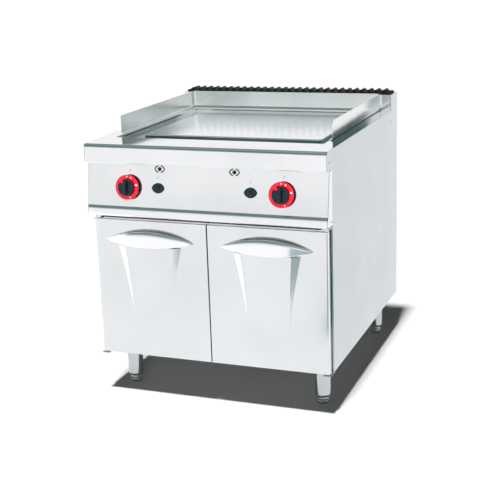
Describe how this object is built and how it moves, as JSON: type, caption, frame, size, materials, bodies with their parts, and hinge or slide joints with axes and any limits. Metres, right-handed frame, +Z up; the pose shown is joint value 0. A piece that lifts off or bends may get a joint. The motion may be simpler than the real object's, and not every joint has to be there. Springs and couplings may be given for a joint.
{
  "type": "flat top griddle",
  "caption": "Gas flat top griddle on a cabinet with two doors: smooth plate in a moat, splash guard, flue grate, control knobs and levelling feet.",
  "frame": {"origin": "on the floor, in the middle of the rectangle that the griddle covers, knobs included", "axes": "+Z up; the doors and knobs face -Y; +X is to the right of a person who stands in front"},
  "size_m": [0.8046, 0.9246, 0.921],
  "materials": {
    "brushed_stainless": "brushed, satin",
    "polished_stainless": "polished",
    "plate_steel": "ground and polished",
    "galvanised": "galvanised, dull",
    "cast_iron": "blackened",
    "brass": "machined",
    "copper": "drawn pipe",
    "black_plastic": "moulded, satin",
    "black_rubber": "moulded",
    "red_dial": "printed, glossy",
    "dark_bracket": "blackened"
  },
  "bodies": {
    "cabinet": {"back_panel": "galvanised", "burner_left": "cast_iron", "burner_right": "cast_iron", "burner_tray": "galvanised", "cabinet_floor": "brushed_stainless", "control_panel": "brushed_stainless", "door_catch": "black_plastic", "drain_tube": "brushed_stainless", "feed_pipe_left": "copper", "feed_pipe_right": "copper", "flue_box": "brushed_stainless", "front_rail": "brushed_stainless", "gas_pipe": "galvanised", "gas_valve_left": "brass", "gas_valve_right": "brass", "griddle_pan": "brushed_stainless", "griddle_plate": "plate_steel", "hinge_lower_left": "dark_bracket", "hinge_lower_right": "dark_bracket", "igniter_left": "black_rubber", "igniter_right": "black_rubber", "leg_front_left": "brushed_stainless", "leg_front_right": "brushed_stainless", "leg_rear_left": "brushed_stainless", "leg_rear_right": "brushed_stainless", "pilot_left": "brass", "pilot_right": "brass", "screw_lug_left": "brushed_stainless", "screw_lug_right": "brushed_stainless", "screw_rear_left": "brushed_stainless", "screw_rear_right": "brushed_stainless", "screw_return_left": "brushed_stainless", "screw_return_right": "brushed_stainless", "side_panel_left": "brushed_stainless", "side_panel_right": "brushed_stainless", "sight_tube_left": "brushed_stainless", "sight_tube_right": "brushed_stainless", "worktop": "brushed_stainless"},
    "door_left": {"door_skin_left": "brushed_stainless", "door_liner_left": "brushed_stainless", "handle_left": "polished_stainless"},
    "spindle_left": {"spindle_left": "brushed_stainless"},
    "knob_left": {"knob_grip_left": "black_plastic", "knob_dial_left": "red_dial"},
    "igniter_button_left": {"igniter_button_left": "black_plastic"},
    "glide_front_left": {"glide_front_left": "brushed_stainless"},
    "glide_rear_left": {"glide_rear_left": "brushed_stainless"},
    "door_right": {"door_skin_right": "brushed_stainless", "door_liner_right": "brushed_stainless", "handle_right": "polished_stainless"},
    "spindle_right": {"spindle_right": "brushed_stainless"},
    "knob_right": {"knob_grip_right": "black_plastic", "knob_dial_right": "red_dial"},
    "igniter_button_right": {"igniter_button_right": "black_plastic"},
    "glide_front_right": {"glide_front_right": "brushed_stainless"},
    "glide_rear_right": {"glide_rear_right": "brushed_stainless"},
    "splash_guard": {"splash_guard": "brushed_stainless"},
    "flue_grate": {"flue_grate": "cast_iron"},
    "grease_pan": {"grease_pan": "brushed_stainless"}
  },
  "joints": [
    {"name": "door_left_hinge", "type": "hinge", "parent": "cabinet", "child": "door_left", "pos_m": [-0.384, -0.40269, 0.3745], "axis": [0, 0, -1], "range_deg": [0, 110]},
    {"name": "knob_left_push", "type": "slide", "parent": "cabinet", "child": "spindle_left", "axis": [0, 0.9905, -0.1377], "range_m": [0, 0.004], "stiffness_N_per_m": 600, "springref_m": -0.004},
    {"name": "knob_left_turn", "type": "hinge", "parent": "spindle_left", "child": "knob_left", "pos_m": [-0.256, -0.42321, 0.714], "axis": [0, -0.9905, 0.1377], "range_deg": [0, 180]},
    {"name": "igniter_left_press", "type": "slide", "parent": "cabinet", "child": "igniter_button_left", "axis": [0, 0.9905, -0.1377], "range_m": [0, 0.004], "stiffness_N_per_m": 500, "springref_m": -0.004},
    {"name": "glide_front_left_screw", "type": "slide", "parent": "cabinet", "child": "glide_front_left", "axis": [0, 0, -1], "range_m": [0, 0.03]},
    {"name": "glide_rear_left_screw", "type": "slide", "parent": "cabinet", "child": "glide_rear_left", "axis": [0, 0, -1], "range_m": [0, 0.03]},
    {"name": "door_right_hinge", "type": "hinge", "parent": "cabinet", "child": "door_right", "pos_m": [0.384, -0.40269, 0.3745], "axis": [0, 0, 1], "range_deg": [0, 110]},
    {"name": "knob_right_push", "type": "slide", "parent": "cabinet", "child": "spindle_right", "axis": [0, 0.9905, -0.1377], "range_m": [0, 0.004], "stiffness_N_per_m": 600, "springref_m": -0.004},
    {"name": "knob_right_turn", "type": "hinge", "parent": "spindle_right", "child": "knob_right", "pos_m": [0.256, -0.42321, 0.714], "axis": [0, -0.9905, 0.1377], "range_deg": [0, 180]},
    {"name": "igniter_right_press", "type": "slide", "parent": "cabinet", "child": "igniter_button_right", "axis": [0, 0.9905, -0.1377], "range_m": [0, 0.004], "stiffness_N_per_m": 500, "springref_m": -0.004},
    {"name": "glide_front_right_screw", "type": "slide", "parent": "cabinet", "child": "glide_front_right", "axis": [0, 0, -1], "range_m": [0, 0.03]},
    {"name": "glide_rear_right_screw", "type": "slide", "parent": "cabinet", "child": "glide_rear_right", "axis": [0, 0, -1], "range_m": [0, 0.03]},
    {"name": "splash_guard_lift", "type": "slide", "parent": "cabinet", "child": "splash_guard", "axis": [0, 0, 1], "range_m": [0, 0.08]},
    {"name": "flue_grate_lift", "type": "slide", "parent": "cabinet", "child": "flue_grate", "axis": [0, 0, 1], "range_m": [0, 0.06]},
    {"name": "grease_pan_lift", "type": "slide", "parent": "cabinet", "child": "grease_pan", "axis": [0, 0, 1], "range_m": [0, 0.04]}
  ]
}
